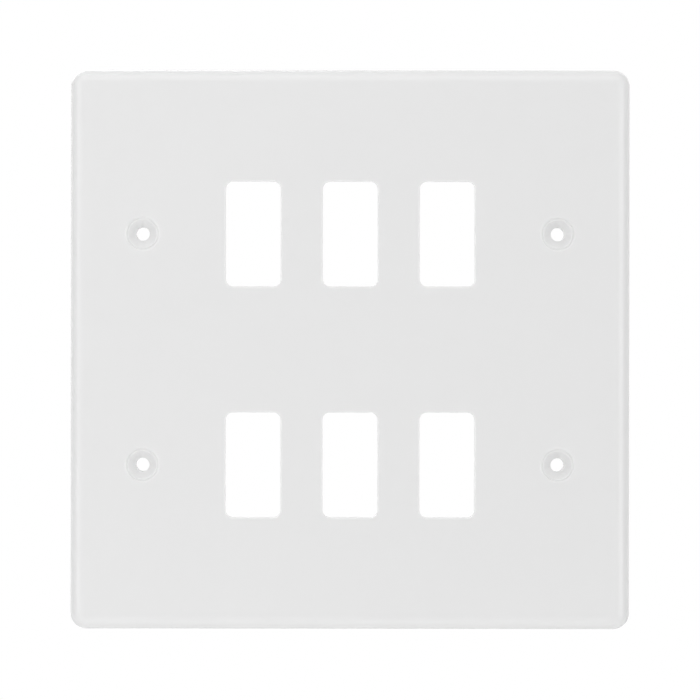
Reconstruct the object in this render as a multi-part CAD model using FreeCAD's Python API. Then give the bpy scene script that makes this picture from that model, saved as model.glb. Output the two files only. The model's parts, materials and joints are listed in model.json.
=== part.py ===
import FreeCAD, Part
import math
import os

# Six-module grid switch front plate, moulded in one piece. Millimetres.
# X runs right, Z up, Y into the wall. The rim that meets the wall lies in the
# plane Y = 0 and the plate stands out from it towards -Y.

# Outer form
PLATE_WIDTH = 146.4
PLATE_HEIGHT = 146.4
PLATE_DEPTH = 9.0
CORNER_RADIUS = 4.4
EDGE_RADIUS = 3.5
SKIRT_DRAFT = 1.5
RIM_CHAMFER = 0.3

# Walls
FACE_WALL = 2.5
SKIRT_WALL = 2.2

# Rocker openings, in rows and columns
COLUMNS = 3
ROWS = 2
COLUMN_PITCH = 25.3
ROW_PITCH = 60.3
OPENING_WIDTH = 14.3
OPENING_HEIGHT = 27.3
OPENING_CORNER = 1.8
OPENING_LIP_RADIUS = 0.3

# Screw holes, on the middle line of each row
SCREW_SPACING = 108.4
BORE_DIAMETER = 3.6
CONE_DIAMETER = 7.2
CONE_ANGLE = 90.0
RECESS_DIAMETER = 8.3
RECESS_DEPTH = 0.5
RECESS_DRAFT = 25.0
RECESS_LIP_RADIUS = 0.3
PILLAR_DIAMETER = 9.0
PILLAR_DRAFT = 1.0

# Ribs behind the face
RIB_THICKNESS = 1.4
RIB_HEIGHT = 4.0
RIB_DRAFT = 1.0

# Clearances round the switch modules
MODULE_HEIGHT = 50.0
MODULE_CLEARANCE = 1.1
BANK_CLEARANCE = 1.55

# Derived planes and places
FRONT = -PLATE_DEPTH
FLOOR = FRONT + FACE_WALL
RIB_TOP = FLOOR + RIB_HEIGHT
COLUMN_X = [(i - 0.5 * (COLUMNS - 1)) * COLUMN_PITCH for i in range(COLUMNS)]
ROW_Z = [(j - 0.5 * (ROWS - 1)) * ROW_PITCH for j in range(ROWS)]
SCREW_X = [-0.5 * SCREW_SPACING, 0.5 * SCREW_SPACING]
RIB_SIDE = 0.5 * COLUMNS * COLUMN_PITCH + BANK_CLEARANCE + 0.5 * RIB_THICKNESS
RIB_REACH = 0.5 * MODULE_HEIGHT + MODULE_CLEARANCE + 0.5 * RIB_THICKNESS

# Working values: how far cutters run past a face, and the least rounding
PAST = 1.0
LEAST = 0.05


def point(x, y, z):
    return FreeCAD.Vector(x, y, z)


def lean(height, degrees):
    """How far a drafted wall leans in over a height."""
    return height * math.tan(math.radians(degrees))


def bend_ends(before, corner, after, radius):
    """Where a rounding of a given radius starts and ends on the two sides of a bend."""
    back = (before - corner).normalize()
    on = (after - corner).normalize()
    reach = radius / math.tan(0.5 * back.getAngle(on))
    return corner + back * reach, corner + on * reach


def rounded_bend(before, corner, after, radius):
    """Arc that rounds a bend of a profile."""
    start, end = bend_ends(before, corner, after, radius)
    out = (start + end - corner * 2).normalize()
    far = start.distanceToPoint(corner)
    middle = corner + out * (math.hypot(radius, far) - radius)
    return Part.Arc(start, middle, end).toShape()


def carried_round(edges, half_x, half_z):
    """Faces swept by profile edges carried round a rectangle and turned at its corners.

    The X of a profile edge is its distance out from the line of corner centres.
    """
    faces = []
    axis = point(0, -1, 0)
    for quarter in range(4):
        a, b = (half_x, half_z) if quarter % 2 == 0 else (half_z, half_x)
        for edge in edges:
            placed = edge.copy()
            placed.translate(point(a, 0, -b))
            side = placed.extrude(point(0, 0, 2 * b))
            placed.translate(point(0, 0, 2 * b))
            turn = placed.revolve(point(a, 0, b), axis, 90)
            for face in (side, turn):
                face.rotate(point(0, 0, 0), axis, 90 * quarter)
                faces.append(face)
    return faces


def rounded_outline(half_x, half_z, radius, y, x=0.0, z=0.0):
    """Closed wire of a rectangle with rounded corners in the plane Y = y."""
    corners = [(1, -1, -90), (1, 1, 0), (-1, 1, 90), (-1, -1, 180)]
    arcs = []
    for sx, sz, start in corners:
        marks = []
        for turn in (0, 45, 90):
            angle = math.radians(start + turn)
            px = x + sx * (half_x - radius) + radius * math.cos(angle)
            pz = z + sz * (half_z - radius) + radius * math.sin(angle)
            marks.append(point(px, y, pz))
        arcs.append(marks)
    edges = []
    for index, marks in enumerate(arcs):
        edges.append(Part.Arc(*marks).toShape())
        edges.append(Part.makeLine(marks[2], arcs[(index + 1) % 4][0]))
    return Part.Wire(edges)


def closed_solid(faces):
    """Solid bounded by faces that meet edge to edge."""
    skin = Part.makeCompound(faces)
    skin.sewShape()
    solid = Part.makeSolid(skin.Shells[0])
    if solid.Volume < 0:
        solid.reverse()
    return solid


def drafted_round_block(half_x, half_z, radius, y0, y1, narrowing, rounding=0.0):
    """Block with round corners that draws in from y0 to y1, where its edge may be rounded."""
    cx = half_x - radius
    cz = half_z - radius
    start = point(radius, y0, 0)
    foot = point(radius - narrowing, y1, 0)
    edges = [Part.makeLine(start, foot)]
    end = foot
    if rounding > 0:
        bend = (start, foot, point(0, y1, 0), rounding)
        leave, end = bend_ends(*bend)
        edges = [Part.makeLine(start, leave), rounded_bend(*bend)]
    faces = carried_round(edges, cx, cz)
    faces.append(Part.Face(rounded_outline(cx + start.x, cz + start.x, start.x, y0)))
    faces.append(Part.Face(rounded_outline(cx + end.x, cz + end.x, end.x, y1)))
    return closed_solid(faces)


def edges_in_plane(shape, y):
    """Edges of a shape that lie wholly in the plane Y = y."""
    found = []
    for edge in shape.Edges:
        box = edge.BoundBox
        if abs(box.YMin - y) < 1e-4 and abs(box.YMax - y) < 1e-4:
            found.append(edge)
    return found


def outer_form():
    """The plate as a solid block: drafted sides and the rounded front edge."""
    n = lean(PLATE_DEPTH, SKIRT_DRAFT)
    rounding = min(EDGE_RADIUS, CORNER_RADIUS - n - LEAST, PLATE_DEPTH - LEAST)
    return drafted_round_block(0.5 * PLATE_WIDTH, 0.5 * PLATE_HEIGHT, CORNER_RADIUS, 0.0, FRONT, n, rounding)


def tray():
    """The open tray inside the skirt, from past the rim down to the back of the face."""
    grow = lean(PAST, SKIRT_DRAFT) - SKIRT_WALL
    n = lean(PAST - FLOOR, SKIRT_DRAFT)
    radius = max(CORNER_RADIUS + grow, n + LEAST)
    return drafted_round_block(0.5 * PLATE_WIDTH + grow, 0.5 * PLATE_HEIGHT + grow, radius, PAST, FLOOR, n)


def pillar(x, z):
    """Tapering screw pillar, widest where it stands on the face."""
    foot = 0.5 * PILLAR_DIAMETER + lean(FACE_WALL, PILLAR_DRAFT)
    height = PLATE_DEPTH + 2 * PAST
    top = foot - lean(height, PILLAR_DRAFT)
    return Part.makeCone(foot, top, height, point(x, FRONT, z), point(0, 1, 0))


def rib(x0, z0, x1, z1):
    """Drafted rib along a line of the plan, standing on the middle of the face's wall."""
    half = 0.5 * RIB_THICKNESS
    height = RIB_HEIGHT + 0.5 * FACE_WALL
    wide = half + lean(height, RIB_DRAFT)
    foot = RIB_TOP - height
    return Part.makeWedge(x0 - wide, foot, z0 - wide, z0 - half, x0 - half,
                          x1 + wide, RIB_TOP, z1 + wide, z1 + half, x1 + half)


def rib_plan():
    """Lines of the ribs: a frame round each bank of modules, and webs out to the skirt."""
    wall_x = 0.5 * (PLATE_WIDTH - SKIRT_WALL)
    wall_z = 0.5 * (PLATE_HEIGHT - SKIRT_WALL)
    shelf = ROW_Z[-1] + RIB_REACH
    lines = [(x, -wall_z, x, wall_z) for x in (-RIB_SIDE, RIB_SIDE)]
    lines += [(-wall_x, z, wall_x, z) for z in (-shelf, shelf)]
    for lower, upper in zip(ROW_Z, ROW_Z[1:]):
        lines += [(-RIB_SIDE, z, RIB_SIDE, z) for z in (lower + RIB_REACH, upper - RIB_REACH)]
    for x in [0.5 * (a + b) for a, b in zip(COLUMN_X, COLUMN_X[1:])]:
        lines += [(x, shelf, x, wall_z), (x, -wall_z, x, -shelf)]
    middles = [0.5 * (a + b) for a, b in zip(ROW_Z, ROW_Z[1:])]
    for z in ROW_Z + middles:
        lines += [(RIB_SIDE, z, wall_x, z), (-wall_x, z, -RIB_SIDE, z)]
    return lines


def core():
    """Everything the mould core leaves empty behind the face."""
    posts = [pillar(x, z) for x in SCREW_X for z in ROW_Z]
    webs = [rib(*line) for line in rib_plan()]
    return tray().cut(webs[0].fuse(webs[1:] + posts))


def rim_edges(shape):
    """Inner and outer edges of the rim, without the ends of the screw pillars."""
    found = []
    for edge in edges_in_plane(shape, 0.0):
        middle = edge.BoundBox.Center
        near = min(math.hypot(middle.x - x, middle.z - z) for x in SCREW_X for z in ROW_Z)
        if near > 0.5 * PILLAR_DIAMETER:
            found.append(edge)
    return found


def screw_hole(x, z):
    """Rounded lip, drafted recess, cone and bore, revolved about the screw's line."""
    bore = 0.5 * BORE_DIAMETER
    cone = 0.5 * CONE_DIAMETER
    recess = 0.5 * RECESS_DIAMETER
    ledge = FRONT + RECESS_DEPTH
    throat = ledge + (cone - bore) / math.tan(math.radians(0.5 * CONE_ANGLE))
    mouth = point(recess + lean(RECESS_DEPTH, RECESS_DRAFT), FRONT, 0)
    foot = point(recess, ledge, 0)
    start, finish = bend_ends(mouth + point(PAST, 0, 0), mouth, foot, RECESS_LIP_RADIUS)
    lip = Part.BezierCurve()
    lip.setPoles([start, mouth, finish])
    marks = [finish, foot, point(cone, ledge, 0), point(bore, throat, 0)]
    marks += [point(bore, PAST, 0), point(0, PAST, 0), point(0, FRONT - PAST, 0)]
    marks += [point(start.x, FRONT - PAST, 0), start]
    edges = [lip.toShape()]
    edges += [Part.makeLine(a, b) for a, b in zip(marks, marks[1:])]
    hole = Part.Face(Part.Wire(edges)).revolve(point(0, 0, 0), point(0, 1, 0), 360)
    hole.translate(point(x, 0, z))
    return hole


def opening(x, z):
    """Straight cutter for one rocker opening."""
    wire = rounded_outline(0.5 * OPENING_WIDTH, 0.5 * OPENING_HEIGHT, OPENING_CORNER, FRONT - PAST, x, z)
    return Part.Face(wire).extrude(point(0, FACE_WALL + 2 * PAST, 0))


def opening_edges(shape, y):
    """Edges of the rocker openings in the plane Y = y."""
    found = []
    for edge in edges_in_plane(shape, y):
        middle = edge.BoundBox.Center
        near_x = min(abs(middle.x - x) for x in COLUMN_X)
        near_z = min(abs(middle.z - z) for z in ROW_Z)
        if near_x < 0.5 * OPENING_WIDTH + LEAST and near_z < 0.5 * OPENING_HEIGHT + LEAST:
            found.append(edge)
    return found


def front_plate():
    plate = outer_form().cut(core()).removeSplitter()
    plate = plate.makeChamfer(RIM_CHAMFER, rim_edges(plate))
    plate = plate.cut([opening(x, z) for x in COLUMN_X for z in ROW_Z])
    plate = plate.makeFillet(OPENING_LIP_RADIUS, opening_edges(plate, FRONT))
    plate = plate.cut([screw_hole(x, z) for x in SCREW_X for z in ROW_Z])
    return plate.removeSplitter()


os.makedirs("parts", exist_ok=True)
result = front_plate()
body = result.Solids[0] if len(result.Solids) == 1 else result
body.exportStep("parts/front_plate.step")
print("solids", len(result.Solids), "valid", body.isValid(), "volume cm3", round(body.Volume / 1000.0, 3))
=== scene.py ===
import json
import math

import bmesh
import bpy
import numpy as np
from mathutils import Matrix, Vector


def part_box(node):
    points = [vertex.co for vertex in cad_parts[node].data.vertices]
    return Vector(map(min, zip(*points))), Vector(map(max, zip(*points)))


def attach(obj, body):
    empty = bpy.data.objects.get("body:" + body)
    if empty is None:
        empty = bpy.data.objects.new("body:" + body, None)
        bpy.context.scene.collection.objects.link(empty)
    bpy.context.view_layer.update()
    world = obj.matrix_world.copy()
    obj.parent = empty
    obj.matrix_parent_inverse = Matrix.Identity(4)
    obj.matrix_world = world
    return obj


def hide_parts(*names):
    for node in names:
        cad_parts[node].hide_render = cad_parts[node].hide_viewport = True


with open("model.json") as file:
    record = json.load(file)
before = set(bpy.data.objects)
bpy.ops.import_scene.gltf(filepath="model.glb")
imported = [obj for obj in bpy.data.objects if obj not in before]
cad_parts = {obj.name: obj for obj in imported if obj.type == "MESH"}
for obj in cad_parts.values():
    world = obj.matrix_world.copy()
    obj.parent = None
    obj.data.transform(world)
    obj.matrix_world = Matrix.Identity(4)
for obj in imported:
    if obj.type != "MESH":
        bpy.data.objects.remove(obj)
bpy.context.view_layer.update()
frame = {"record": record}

# The plate and the camera are worked out in millimetres and put into Blender in metres.
# The floor and the lamps are given in metres, unless a name ends in mm.
# X runs to the right, Z up and Y into the wall; the rim lies at Y 0 and the front faces -Y.
MM = 0.001

# Places taken from the frame: the plate's box, the screws, the rocker openings and the module banks.
PLACE_DIGITS = 3
low, high = (np.array(corner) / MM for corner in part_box("front_plate"))
PLATE_WIDTH, PLATE_DEPTH, PLATE_HEIGHT = high - low
mounts = {mount["name"]: mount["dims"] for mount in frame["record"]["mounts"]}
SCREW_X = np.array((-0.5, 0.5)) * mounts["box_screws"]["spacing_x_mm"]
SCREW_Z = np.array((-0.5, 0.5)) * mounts["box_screws"]["spacing_y_mm"]
BORE_RADIUS = mounts["box_screws"]["hole_r_mm"]
rooms = {room["name"]: np.array(room["box_m"]) / MM for room in frame["record"]["physics"]["openings"]}
rockers = np.array([box for name, box in rooms.items() if name.startswith("rocker")])
COLUMN_X = np.unique(np.round(rockers.mean(axis=1)[:, 0], PLACE_DIGITS))
ROW_Z = np.unique(np.round(rockers.mean(axis=1)[:, 2], PLACE_DIGITS))
ROCKER_HALF = (rockers[0, 1] - rockers[0, 0]) / 2
BANK_LOW, BANK_HIGH = rooms["upper_module_bank"]

# Moulding sizes.
CORNER_RADIUS = 4.4
EDGE_RADIUS = 3.5
SKIRT_DRAFT = math.tan(math.radians(1.5))
SKIRT_WALL = 2.2
FACE_WALL = 2.5
RIM_CHAMFER = 0.3
RIM_ROUND = 0.35
FOOT_ROUND = 0.6
ROCKER_PLAY = 0.6
OPENING_CORNER = 1.8
OPENING_LIP = 0.3
OPENING_BACK_ROUND = 0.3
RECESS_RADIUS = 4.1
RECESS_DEPTH = 0.42
RECESS_DRAFT = math.tan(math.radians(30.0))
SHOULDER_DEPTH = 0.19
SHOULDER_WIDTH = 0.45
SHOULDER_ROUND = 0.4
CONE_RADIUS = 3.7
SMALL_ROUND = 0.12
PILLAR_RADIUS = 4.5
PILLAR_END_ROUND = 0.3
RIB_THICKNESS = 1.4
RIB_HEIGHT = 4.0
RIB_TOP_ROUND = 0.25
RIB_DRAFT = math.tan(math.radians(1.0))
BANK_GAP_X = 0.5
BANK_GAP_Z = 0.55

# How far the mesh of a hole reaches past an opening's lip, and from a screw's centre.
OPENING_WINDOW = 0.9
SCREW_WINDOW = 6.5

# How far from a round its neighbours are held flat.
EDGE_HOLD = 0.15
LIP_HOLD = 0.12
WALL_HOLD = 0.1
BORE_HOLD = 0.06
RECESS_HOLD = 0.04

# Degrees between the points of a round: the least, that of a 1 mm radius, and that of the ribs.
FINEST_STEP = 8.0
UNIT_STEP = 10.0
RIB_STEP = 30.0

# Points round each corner of the plate, lines on each side of a window, and lines beside a screw's rib.
CORNER_POINTS = 11
WINDOW_LINES = 5
RIB_SIDE_LINES = 4

# Lengths that count as the same, and how lines and points are brought together.
NEAR = 0.001
LINE_DIGITS = 5
WELD_CELL = 0.0005
WELD_SHIFT = 0.137

# An edge that turns by more than this is shaded sharp.
SHARP_ANGLE = math.radians(40.0)

# Watts on a square metre of lamp that make its face as bright as the white background.
WATTS_FOR_WHITE = 4.0

# Worked out from the sizes above. The solid's box is widest where its rim chamfer starts, and the draft
# carries the outline on from there to the plane of the rim.
FRONT = -PLATE_DEPTH
TRAY_FLOOR = FRONT + FACE_WALL
RIB_TOP = TRAY_FLOOR + RIB_HEIGHT
CORE_X = PLATE_WIDTH / 2 + RIM_CHAMFER * SKIRT_DRAFT - CORNER_RADIUS
CORE_Z = PLATE_HEIGHT / 2 + RIM_CHAMFER * SKIRT_DRAFT - CORNER_RADIUS
OPENING_HALF_X = ROCKER_HALF[0] + ROCKER_PLAY
OPENING_HALF_Z = ROCKER_HALF[2] + ROCKER_PLAY
RIB_SIDE_X = BANK_HIGH[0] + BANK_GAP_X + RIB_THICKNESS / 2
RIB_OUTER_Z = BANK_HIGH[2] + BANK_GAP_Z + RIB_THICKNESS / 2
RIB_INNER_Z = BANK_LOW[2] - BANK_GAP_Z - RIB_THICKNESS / 2
RIB_SHORT_X = (COLUMN_X[-1] - COLUMN_X[-2]) / 2


def unit(vector):
    """The vector divided by its own length."""
    return vector / np.linalg.norm(vector)


def rounded_profile(corners, step=None):
    """Straight runs with rounded corners, each corner given as across, depth, round radius and hold.

    A round touches both runs at its radius times the tangent of half the turn from the corner, and its
    points divide its circle evenly, at most step degrees apart. Where no step is given, it is the unit step
    over the root of the radius, and never less than the finest step. Where hold is given, one more point
    stands that far out on each run, so that the shading of the flat beside the round stays flat.
    """
    runs = []
    for place, (across, depth, radius, hold) in enumerate(corners):
        corner = np.array((across, depth))
        if radius == 0:
            runs.append(corner[None])
            continue
        back = unit(np.array(corners[place - 1][:2]) - corner)
        ahead = unit(np.array(corners[place + 1][:2]) - corner)
        turn = math.pi - math.acos(np.clip(back @ ahead, -1, 1))
        reach = radius * math.tan(turn / 2)
        middle = corner + unit(back + ahead) * radius / math.cos(turn / 2)
        apart = step or max(FINEST_STEP, UNIT_STEP / math.sqrt(radius))
        count = max(2, math.ceil(math.degrees(turn) / apart))
        part = np.linspace(0, 1, count + 1)[:, None]
        first = corner + back * reach - middle
        last = corner + ahead * reach - middle
        swing = np.sin((1 - part) * turn) * first + np.sin(part * turn) * last
        if hold:
            runs.append((corner + back * (reach + hold))[None])
        runs.append(middle + swing / math.sin(turn))
        if hold:
            runs.append((corner + ahead * (reach + hold))[None])
    return np.vstack(runs)


rib_line = rounded_profile([
    (0, RIB_TOP, 0, 0),
    (RIB_THICKNESS / 2, RIB_TOP, RIB_TOP_ROUND, 0),
    (RIB_THICKNESS / 2 + RIB_HEIGHT * RIB_DRAFT, TRAY_FLOOR, FOOT_ROUND, 0),
    (RIB_THICKNESS + 2 * FOOT_ROUND, TRAY_FLOOR, 0, 0),
], step=RIB_STEP)
RIB_STEPS = rib_line[1:-1, 0]
RIB_FOOT = RIB_STEPS[-1]
PILLAR_FOOT = PILLAR_RADIUS + FOOT_ROUND


def rib_height(x, z):
    """Depth of the back's surface: the tray's floor or the highest of the ribs at that place.

    A rib's depth is its section read at the distance from its centre line, between the two ends of its run.
    The lattice is the same in all four quarters, so it is worked out on the sizes of x and z alone.
    """
    x = np.abs(x)
    z = np.abs(z)
    endless = CORE_X + CORE_Z
    upright = [(RIB_SIDE_X, 0, endless), (RIB_SHORT_X, RIB_OUTER_Z, endless)]
    level = [
        (RIB_OUTER_Z, 0, endless),
        (RIB_INNER_Z, 0, RIB_SIDE_X),
        (SCREW_Z[-1], RIB_SIDE_X, endless),
        (0, RIB_SIDE_X, endless),
    ]
    depth = np.full(np.broadcast(x, z).shape, TRAY_FLOOR)
    for across, along, ribs in ((x, z, upright), (z, x, level)):
        for centre, start, end in ribs:
            section = np.interp(np.abs(across - centre), rib_line[:, 0], rib_line[:, 1])
            depth = np.maximum(depth, np.where((along >= start) & (along <= end), section, TRAY_FLOOR))
    return depth


def both_sides(centres, offsets):
    """Every centre plus and minus every offset, as one flat list."""
    return (np.asarray(centres)[:, None] + np.concatenate((-offsets, offsets))[None]).ravel()


def sheet_lines():
    """The two sets of straight lines that the flat sheets are woven on.

    There is a line at every bend of a rib's section. On each side of an opening and of a screw, more lines
    divide the way to the edge of its window evenly: at an opening from where its rounded corner starts, and
    at a screw from its centre, across, or from the foot of its rib, up.
    """
    window_part = np.linspace(0, 1, WINDOW_LINES)
    rib_side_part = np.linspace(0, 1, RIB_SIDE_LINES)
    corner_span = OPENING_CORNER + OPENING_LIP + OPENING_WINDOW
    opening_x = OPENING_HALF_X - OPENING_CORNER + window_part * corner_span
    opening_z = OPENING_HALF_Z - OPENING_CORNER + window_part * corner_span
    screw_x = window_part * SCREW_WINDOW
    screw_z = RIB_FOOT + rib_side_part * (SCREW_WINDOW - RIB_FOOT)
    across = np.concatenate((
        (-CORE_X, CORE_X),
        both_sides((-RIB_SIDE_X, -RIB_SHORT_X, RIB_SHORT_X, RIB_SIDE_X), RIB_STEPS),
        both_sides(COLUMN_X, opening_x),
        both_sides(SCREW_X, screw_x),
    ))
    up = np.concatenate((
        (-CORE_Z, CORE_Z),
        both_sides((-RIB_OUTER_Z, -RIB_INNER_Z, 0, RIB_INNER_Z, RIB_OUTER_Z), RIB_STEPS),
        both_sides(SCREW_Z, RIB_STEPS),
        both_sides(ROW_Z, opening_z),
        both_sides(SCREW_Z, screw_z),
    ))
    return np.unique(np.round(across, LINE_DIGITS)), np.unique(np.round(up, LINE_DIGITS))


across_lines, up_lines = sheet_lines()
window_x = OPENING_HALF_X + OPENING_LIP + OPENING_WINDOW
window_z = OPENING_HALF_Z + OPENING_LIP + OPENING_WINDOW
opening_windows = [(x, z, window_x, window_z) for z in ROW_Z for x in COLUMN_X]
screw_windows = [(x, z, SCREW_WINDOW, SCREW_WINDOW) for z in SCREW_Z for x in SCREW_X]


def grid_faces(rows, columns, closed):
    """Quads between neighbouring rows and columns; a closed grid's last column is joined to its first."""
    number = np.arange(rows * columns).reshape(rows, columns)
    if closed:
        number = np.concatenate((number, number[:, :1]), axis=1)
    corners = (number[:-1, :-1], number[:-1, 1:], number[1:, 1:], number[1:, :-1])
    return np.stack(corners, axis=-1).reshape(-1, 4)


def woven_sheet(depth, core_side):
    """A sheet over the crossing lines, at the given depth at each crossing, without the cells whose middle
    lies in the window of an opening or a screw."""
    x, z = np.meshgrid(across_lines, up_lines, indexing="ij")
    points = np.stack((x, np.broadcast_to(depth, x.shape), z), axis=-1)
    middle_x = ((across_lines[:-1] + across_lines[1:]) / 2)[:, None]
    middle_z = ((up_lines[:-1] + up_lines[1:]) / 2)[None]
    solid = np.ones((len(across_lines) - 1, len(up_lines) - 1), bool)
    for centre_x, centre_z, half_x, half_z in opening_windows + screw_windows:
        solid &= (np.abs(middle_x - centre_x) > half_x) | (np.abs(middle_z - centre_z) > half_z)
    faces = grid_faces(len(across_lines), len(up_lines), False)[solid.ravel()]
    return points.reshape(-1, 3), faces, np.full(x.size, float(core_side))


def loop_round(xs, zs):
    """The outline of a rectangle of lines, once round without a repeat: along the bottom, up the right
    side, back along the top and down the left side."""
    bottom = np.stack((xs[:-1], np.full(len(xs) - 1, zs[0])), axis=-1)
    right = np.stack((np.full(len(zs) - 1, xs[-1]), zs[:-1]), axis=-1)
    top = np.stack((xs[:0:-1], np.full(len(xs) - 1, zs[-1])), axis=-1)
    left = np.stack((np.full(len(zs) - 1, xs[0]), zs[:0:-1]), axis=-1)
    return np.concatenate((bottom, right, top, left))


def window_loop(centre_x, centre_z, half_x, half_z):
    """The outline of a window: the loop round the lines that lie within half its size of its centre."""
    xs = across_lines[np.abs(across_lines - centre_x) < half_x + NEAR]
    zs = up_lines[np.abs(up_lines - centre_z) < half_z + NEAR]
    return loop_round(xs, zs)


def carried(profile, base, outward):
    """A profile carried round a path: each point stands off its place on the base line by the profile's
    across value along the outward direction, at the profile's depth. Rows run along the profile and columns
    round the path."""
    across = profile[:, 0, None]
    x = base[:, 0] + across * outward[:, 0]
    z = base[:, 1] + across * outward[:, 1]
    return np.stack((x, np.broadcast_to(profile[:, 1, None], x.shape), z), axis=-1)


def past_rim(profile):
    """Which points of a profile come after its last one in the plane of the rim."""
    return np.arange(len(profile)) > np.flatnonzero(profile[:, 1] > -NEAR)[-1]


def raise_to_ribs(rows, behind):
    """Gives the rows behind the rim the greater of their own depth and the ribs', so that the ribs run into
    the wall."""
    x, depth, z = np.moveaxis(rows[behind], -1, 0)
    rows[behind, :, 1] = np.maximum(depth, rib_height(x, z))


def between_sheets(loop, middle):
    """The rows of a hole: its window's outline on the front sheet, the rows between, and the same outline
    on the rear sheet, at the ribs' depth."""
    x, z = loop.T
    front = np.stack((x, np.full(len(loop), FRONT), z), axis=-1)
    rear = np.stack((x, rib_height(x, z), z), axis=-1)
    return np.concatenate((front[None], middle, rear[None]))


def patch(rows, behind):
    """The points, faces and core side of a closed band of rows, where behind says which rows belong to the
    core side."""
    core_side = np.broadcast_to(np.asarray(behind, float)[:, None], rows.shape[:2])
    return rows.reshape(-1, 3), grid_faces(*rows.shape[:2], True), core_side.ravel()


def plate_edge():
    """The edge and skirt: a profile carried round the plate's outline.

    The path is a rectangle through the centres of the plate's corners, with a quarter circle of directions
    at each of them. The profile goes from the face over the rounded edge, up the drafted wall, over the rim
    and down the inner wall to the tray's floor. Past the rim it is raised to the ribs.
    """
    front_across = CORNER_RADIUS - PLATE_DEPTH * SKIRT_DRAFT
    inner = CORNER_RADIUS - SKIRT_WALL
    profile = rounded_profile([
        (0, FRONT, 0, 0),
        (front_across, FRONT, EDGE_RADIUS, EDGE_HOLD),
        (CORNER_RADIUS, 0, RIM_ROUND, WALL_HOLD),
        (inner, 0, RIM_ROUND, WALL_HOLD),
        (inner + RIB_TOP * SKIRT_DRAFT, RIB_TOP, 0, 0),
        (inner + TRAY_FLOOR * SKIRT_DRAFT, TRAY_FLOOR, FOOT_ROUND, WALL_HOLD),
        (0, TRAY_FLOOR, 0, 0),
    ])
    sides = loop_round(across_lines, up_lines)
    outward = np.where(np.abs(sides) > np.array((CORE_X, CORE_Z)) - NEAR, np.sign(sides), 0.0)
    bearing = np.arctan2(outward[:, 1], outward[:, 0])
    at_corner = np.all(outward != 0, axis=1)
    fan = np.radians(np.linspace(-45, 45, CORNER_POINTS))
    turns = np.where(at_corner, len(fan), 1)
    spread = np.concatenate([fan if corner else np.zeros(1) for corner in at_corner])
    bearing = np.repeat(bearing, turns) + spread
    base = np.repeat(sides, turns, axis=0)
    rows = carried(profile, base, np.stack((np.cos(bearing), np.sin(bearing)), axis=-1))
    behind = past_rim(profile)
    raise_to_ribs(rows, behind)
    return patch(rows, behind)


def rocker_opening(centre_x, centre_z, half_x, half_z):
    """One opening: a profile carried round a rectangle with rounded corners.

    The profile goes from the front sheet over the lip, down the wall, round the back edge and out to the
    rear sheet. A line of the sheet that meets a straight side of the window goes straight across to the
    opening; those in the window's corner share out the quarter circle.
    """
    centre = np.array((centre_x, centre_z))
    loop = window_loop(centre_x, centre_z, half_x, half_z)
    offset = loop - centre
    core = np.array((OPENING_HALF_X - OPENING_CORNER, OPENING_HALF_Z - OPENING_CORNER))
    over = np.clip((np.abs(offset) - core) / (np.array((half_x, half_z)) - core), 0, 1)
    angle = math.pi / 4 * (1 + over[:, 1] - over[:, 0])
    outward = np.sign(offset) * np.stack((np.cos(angle), np.sin(angle)), axis=-1)
    base = np.clip(offset, -core, core) + centre
    profile = rounded_profile([
        (OPENING_CORNER + OPENING_LIP + OPENING_WINDOW, FRONT, 0, 0),
        (OPENING_CORNER, FRONT, OPENING_LIP, LIP_HOLD),
        (OPENING_CORNER, TRAY_FLOOR, OPENING_BACK_ROUND, LIP_HOLD),
        (OPENING_CORNER + OPENING_LIP + OPENING_WINDOW, TRAY_FLOOR, 0, 0),
    ])[1:-1]
    rows = between_sheets(loop, carried(profile, base, outward))
    return patch(rows, rows[:, 0, 1] > TRAY_FLOOR - OPENING_BACK_ROUND - NEAR)


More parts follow.
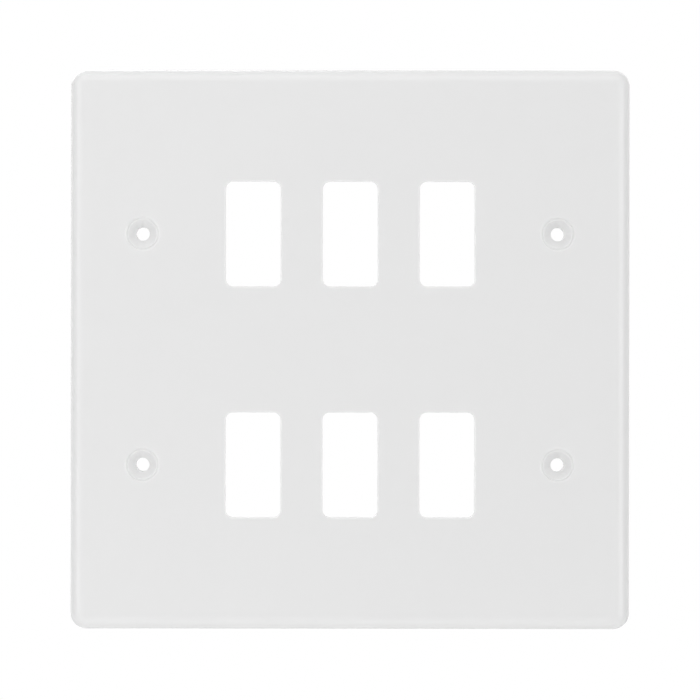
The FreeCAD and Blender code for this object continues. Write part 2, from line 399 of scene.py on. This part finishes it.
def screw_pillar(centre_x, centre_z, half_x, half_z):
    """One countersunk hole and the pillar behind it: a profile turned about the screw's line.

    The profile goes from the front sheet over a gently sloped shoulder, down the sloped wall of the
    recess, across its ledge, down the cone and the bore, over the pillar's end, down its outside and round
    its foot to the rear sheet. Lines of the sheet that lie on the rib keep their height as they meet the
    foot, at the arc sine of their offset over its radius; the others share out the rest of the eighth of a
    turn. Past the rim the profile is raised to the ribs.
    """
    loop = window_loop(centre_x, centre_z, half_x, half_z)
    offset = loop - np.array((centre_x, centre_z))
    size = np.abs(offset)
    rib_angle = math.asin(RIB_FOOT / PILLAR_FOOT)
    on_rib = np.arcsin(np.clip(size[:, 1], 0, RIB_FOOT) / PILLAR_FOOT)
    past_rib = np.clip((size[:, 1] - RIB_FOOT) / (half_z - RIB_FOOT), 0, 1) * (math.pi / 4 - rib_angle)
    at_side = size[:, 0] > half_x - NEAR
    angle = np.where(at_side, on_rib + past_rib, math.pi / 2 - math.pi / 4 * size[:, 0] / half_x)
    way = np.where(offset < 0, -1.0, 1.0)
    outward = way * np.stack((np.cos(angle), np.sin(angle)), axis=-1)
    base = np.broadcast_to((centre_x, centre_z), loop.shape)
    ledge = FRONT + RECESS_DEPTH
    wall_top = RECESS_RADIUS + (RECESS_DEPTH - SHOULDER_DEPTH) * RECESS_DRAFT
    pillar_end = PILLAR_RADIUS + TRAY_FLOOR * RIB_DRAFT
    profile = rounded_profile([
        (SCREW_WINDOW, FRONT, 0, 0),
        (wall_top + SHOULDER_WIDTH, FRONT, SHOULDER_ROUND, LIP_HOLD),
        (wall_top, FRONT + SHOULDER_DEPTH, SMALL_ROUND, RECESS_HOLD),
        (RECESS_RADIUS, ledge, SMALL_ROUND, RECESS_HOLD),
        (CONE_RADIUS, ledge, SMALL_ROUND, RECESS_HOLD),
        (BORE_RADIUS, ledge + CONE_RADIUS - BORE_RADIUS, SMALL_ROUND, BORE_HOLD),
        (BORE_RADIUS, 0, PILLAR_END_ROUND, BORE_HOLD),
        (pillar_end, 0, PILLAR_END_ROUND, BORE_HOLD),
        (pillar_end - RIB_TOP * RIB_DRAFT, RIB_TOP, 0, 0),
        (PILLAR_RADIUS, TRAY_FLOOR, FOOT_ROUND, WALL_HOLD),
        (SCREW_WINDOW, TRAY_FLOOR, 0, 0),
    ])[1:-1]
    middle = carried(profile, base, outward)
    behind = past_rim(profile)
    raise_to_ribs(middle, behind)
    return patch(between_sheets(loop, middle), np.concatenate(((False,), behind, (True,))))


def welded(patches):
    """All patches as one skin: points that fall in the same cell of half a micron become one, and a quad
    that loses a corner to that becomes a triangle. The shift keeps the cells' borders off round figures."""
    starts = np.cumsum([0] + [len(points) for points, _, _ in patches[:-1]])
    points = np.concatenate([points for points, _, _ in patches])
    core_side = np.concatenate([side for _, _, side in patches])
    faces = np.concatenate([quads + start for start, (_, quads, _) in zip(starts, patches)])
    cells = np.round(points / WELD_CELL + WELD_SHIFT).astype(np.int64)
    _, first, number = np.unique(cells, axis=0, return_index=True, return_inverse=True)
    faces = number.ravel()[faces]
    same = faces == np.roll(faces, -1, axis=1)
    folded = same.sum(axis=1)
    quads = faces[folded == 0]
    threes = faces[folded == 1][~same[folded == 1]].reshape(-1, 3)
    return points[first], core_side[first], quads.tolist() + threes.tolist()


def placed(name, data):
    """A new object of that name and data, linked into the scene."""
    thing = bpy.data.objects.new(name, data)
    bpy.context.scene.collection.objects.link(thing)
    return thing


def build_front_plate():
    """The whole moulding as one closed mesh: front sheet, rear sheet, edge, openings and screw pillars."""
    x, z = np.meshgrid(across_lines, up_lines, indexing="ij")
    patches = [woven_sheet(np.array(FRONT), 0), woven_sheet(rib_height(x, z), 1), plate_edge()]
    patches += [rocker_opening(*window) for window in opening_windows]
    patches += [screw_pillar(*window) for window in screw_windows]
    points, core_side, faces = welded(patches)
    mesh = bpy.data.meshes.new("front_plate_moulding")
    mesh.from_pydata((points * MM).tolist(), [], faces)
    side = mesh.attributes.new("core_side", "FLOAT", "POINT")
    side.data.foreach_set("value", core_side)
    shell = bmesh.new()
    shell.from_mesh(mesh)
    loose = [vertex for vertex in shell.verts if not vertex.link_faces]
    bmesh.ops.delete(shell, geom=loose, context="VERTS")
    bmesh.ops.recalc_face_normals(shell, faces=shell.faces)
    shell.to_mesh(mesh)
    shell.free()
    mesh.shade_smooth()
    mesh.set_sharp_from_angle(angle=SHARP_ANGLE)
    return placed("front_plate_moulding", mesh)


class Shade:
    """A value in a node tree that takes part in Python arithmetic: each operator adds its Math node."""

    def __init__(self, tree, socket=None):
        self.tree = tree
        self.socket = socket

    def add(self, kind, settings, values, result=0):
        """Adds a node of that type, makes its settings, fills or links its sockets and gives one of its
        outputs."""
        node = self.tree.nodes.new(kind)
        for name, value in settings.items():
            setattr(node, name, value)
        for name, value in values.items():
            if isinstance(value, Shade):
                self.tree.links.new(value.socket, node.inputs[name])
            else:
                node.inputs[name].default_value = value
        return Shade(self.tree, node.outputs[result] if len(node.outputs) else None)

    def twin(self, result):
        """Another output of the same node."""
        return Shade(self.tree, self.socket.node.outputs[result])

    def maths(self, operation, first, second):
        """One Math node on two values."""
        return self.add("ShaderNodeMath", {"operation": operation}, {0: first, 1: second})

    def __add__(self, other):
        return self.maths("ADD", self, other)

    def __radd__(self, other):
        return self.maths("ADD", other, self)

    def __sub__(self, other):
        return self.maths("SUBTRACT", self, other)

    def __rsub__(self, other):
        return self.maths("SUBTRACT", other, self)

    def __mul__(self, other):
        return self.maths("MULTIPLY", self, other)

    def __rmul__(self, other):
        return self.maths("MULTIPLY", other, self)

    def eased(self, start, end):
        """Smooth step from 0 at start to 1 at end."""
        settings = {"interpolation_type": "SMOOTHSTEP"}
        return self.add("ShaderNodeMapRange", settings, {"Value": self, "From Min": start, "From Max": end})


def fresh_nodes(owner):
    """Empties the nodes of a material or a world and gives a value to add new ones with."""
    owner.use_nodes = True
    owner.node_tree.nodes.clear()
    return Shade(owner.node_tree)


def white_plastic():
    """Moulded white thermoset: a near-white body with faint cloudy tone, a satin gloss front whose skin has
    a slow ripple and a fine grain, and a duller core side with the coarse grain of a spark-cut mould."""
    material = bpy.data.materials.new("white_plastic")
    start = fresh_nodes(material)
    place = start.add("ShaderNodeTexCoord", {}, {}, "Object")
    core = start.add("ShaderNodeAttribute", {"attribute_name": "core_side"}, {}, "Fac")

    def noise(size_mm, detail):
        """Noise whose features are about that many millimetres across."""
        values = {"Vector": place, "Scale": 1 / (size_mm * MM), "Detail": detail, "Roughness": 0.55}
        return start.add("ShaderNodeTexNoise", {}, values, "Fac")

    cloud = noise(size_mm=38.0, detail=3.0)
    ripple = noise(size_mm=5.0, detail=1.0)
    grain = noise(size_mm=0.3, detail=2.0)
    spark = noise(size_mm=0.9, detail=3.0)

    # Each factor is how far a pattern moves the tone, the roughness or, in millimetres, the height.
    body_tone = 0.786
    tone = body_tone + 0.008 * cloud + 0.006 * (grain - 0.5) - 0.02 * core
    colour = start.add("ShaderNodeCombineColor", {}, {"Red": tone, "Green": tone, "Blue": tone})
    front_rough = 0.13
    core_dulling = 0.24
    rough = front_rough + 0.05 * cloud + 0.04 * spark + core * (core_dulling + 0.1 * (spark - 0.5))
    front_relief = ripple * (0.006 * MM) + grain * (0.0012 * MM)
    core_relief = spark * (0.012 * MM) + grain * (0.004 * MM)
    relief = front_relief + core * core_relief
    skin = start.add("ShaderNodeBump", {}, {"Height": relief, "Strength": 1.0, "Distance": 1.0})
    shader = start.add("ShaderNodeBsdfPrincipled", {}, {
        "Base Color": colour,
        "Roughness": rough,
        "IOR": 1.5,
        "Subsurface Weight": 1.0,
        "Subsurface Radius": (1.0, 1.0, 1.0),
        "Subsurface Scale": 0.5 * MM,
        "Normal": skin,
    })
    start.add("ShaderNodeOutputMaterial", {}, {"Surface": shader})
    return material


def pale_floor():
    """A round pale floor under the plate: matt white by the object, where it keeps its shadow, and easing
    with the distance from the middle into the white background for the camera alone."""
    radius = 1.2
    drop_mm = 230.0
    count = 96
    paint = 0.9
    fade_start, fade_end = 0.5, 1.0
    height = (low[2] - drop_mm) * MM
    turn = np.linspace(0, 2 * math.pi, count, endpoint=False)
    ring = np.stack((radius * np.cos(turn), radius * np.sin(turn), np.full(count, height)), axis=-1)
    mesh = bpy.data.meshes.new("pale_floor")
    mesh.from_pydata(ring.tolist(), [], [list(range(count))])
    floor = placed("pale_floor", mesh)
    material = bpy.data.materials.new("pale_floor")
    start = fresh_nodes(material)
    place = start.add("ShaderNodeTexCoord", {}, {}, "Object")
    away = start.add("ShaderNodeVectorMath", {"operation": "LENGTH"}, {0: place}, "Value")
    camera = start.add("ShaderNodeLightPath", {}, {}, "Is Camera Ray")
    matt = start.add("ShaderNodeBsdfDiffuse", {}, {"Color": (paint, paint, paint, 1)})
    white = start.add("ShaderNodeEmission", {}, {"Color": (1, 1, 1, 1), "Strength": 1.0})
    share = away.eased(fade_start, fade_end) * camera
    both = start.add("ShaderNodeMixShader", {}, {0: share, 1: matt, 2: white})
    start.add("ShaderNodeOutputMaterial", {}, {"Surface": both})
    mesh.materials.append(material)


def white_world(fill):
    """Even fill light all round. The camera sees plain white everywhere. Reflections and light that passes
    through see it behind the plate, where the backdrop stands, easing into the fill at its sides."""
    backdrop_start, backdrop_end = 0.3, 0.75
    world = bpy.data.worlds.new("studio")
    start = fresh_nodes(world)
    camera = start.add("ShaderNodeLightPath", {}, {}, "Is Camera Ray")
    mirror = start.maths("MAXIMUM", camera.twin("Is Glossy Ray"), camera.twin("Is Transmission Ray"))
    way = start.add("ShaderNodeTexCoord", {}, {}, "Generated")
    behind = start.add("ShaderNodeSeparateXYZ", {}, {0: way}, "Y").eased(backdrop_start, backdrop_end)
    seen = start.maths("MAXIMUM", camera, mirror * behind)
    even = start.add("ShaderNodeBackground", {}, {"Color": (1, 1, 1, 1), "Strength": fill})
    white = start.add("ShaderNodeBackground", {}, {"Color": (1, 1, 1, 1), "Strength": 1.0})
    both = start.add("ShaderNodeMixShader", {}, {0: seen, 1: even, 2: white})
    start.add("ShaderNodeOutputWorld", {}, {"Surface": both})
    bpy.context.scene.world = world


def soft_light(name, bearing, rise, distance, width, height, glow):
    """A soft box that faces the plate. Bearing is degrees to the right of the camera's line and rise is
    degrees above it, as seen facing the plate. A glow of 1 is as bright as the white background."""
    light = bpy.data.lights.new(name, "AREA")
    light.shape = "RECTANGLE"
    light.size = width
    light.size_y = height
    light.energy = WATTS_FOR_WHITE * width * height * glow
    turn = math.radians(bearing)
    lift = math.radians(rise)
    way = Vector((math.sin(turn) * math.cos(lift), -math.cos(turn) * math.cos(lift), math.sin(lift)))
    lamp = placed(name, light)
    lamp.location = way * distance
    lamp.rotation_euler = way.to_track_quat("Z", "Y").to_euler()
    lamp.visible_camera = False


def photo_camera():
    """The camera straight in front of the plate. The frame of 700 pixels spans the face's plane at 3.8325
    pixels a millimetre from 1.3 m away; the plate's middle lies a little off the frame's, with a slight
    roll, in degrees."""
    pixels = 700
    scale = 3.8325
    away = 1300.0
    middle_x, middle_y = 350.1, 349.5
    roll = -0.087
    camera = bpy.data.cameras.new("camera")
    camera.sensor_width = 36.0
    camera.lens = camera.sensor_width * away / (pixels / scale)
    off_x = (pixels / 2 - middle_x) / scale
    off_z = (middle_y - pixels / 2) / scale
    eye = placed("camera", camera)
    eye.location = Vector((off_x, FRONT - away, off_z)) * MM
    eye.rotation_euler = (math.pi / 2, math.radians(roll), 0)
    bpy.context.scene.camera = eye


photo_camera()
bpy.context.scene.view_settings.view_transform = "Standard"
white_world(0.56)

# Each lamp's bearing, rise, distance, width, height and glow.
soft_light("left_box", -55, 5, 0.65, 0.26, 0.65, 1.25)
soft_light("left_front_box", -35, 5, 0.65, 0.17, 0.65, 0.45)
soft_light("right_box", 46, 0, 1.5, 1.05, 1.2, 1.22)
soft_light("top_box", 0, 58, 0.65, 0.7, 0.5, 0.78)
soft_light("top_back_box", 0, 95, 0.65, 0.7, 0.17, 0.5)
soft_light("low_card", 0, -72, 0.3, 0.35, 0.3, 0.32)
soft_light("back_box", -150, 35, 1.2, 0.9, 0.9, 1.2)
pale_floor()

plate = build_front_plate()
plate.data.materials.append(white_plastic())
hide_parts("front_plate")
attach(plate, "root")
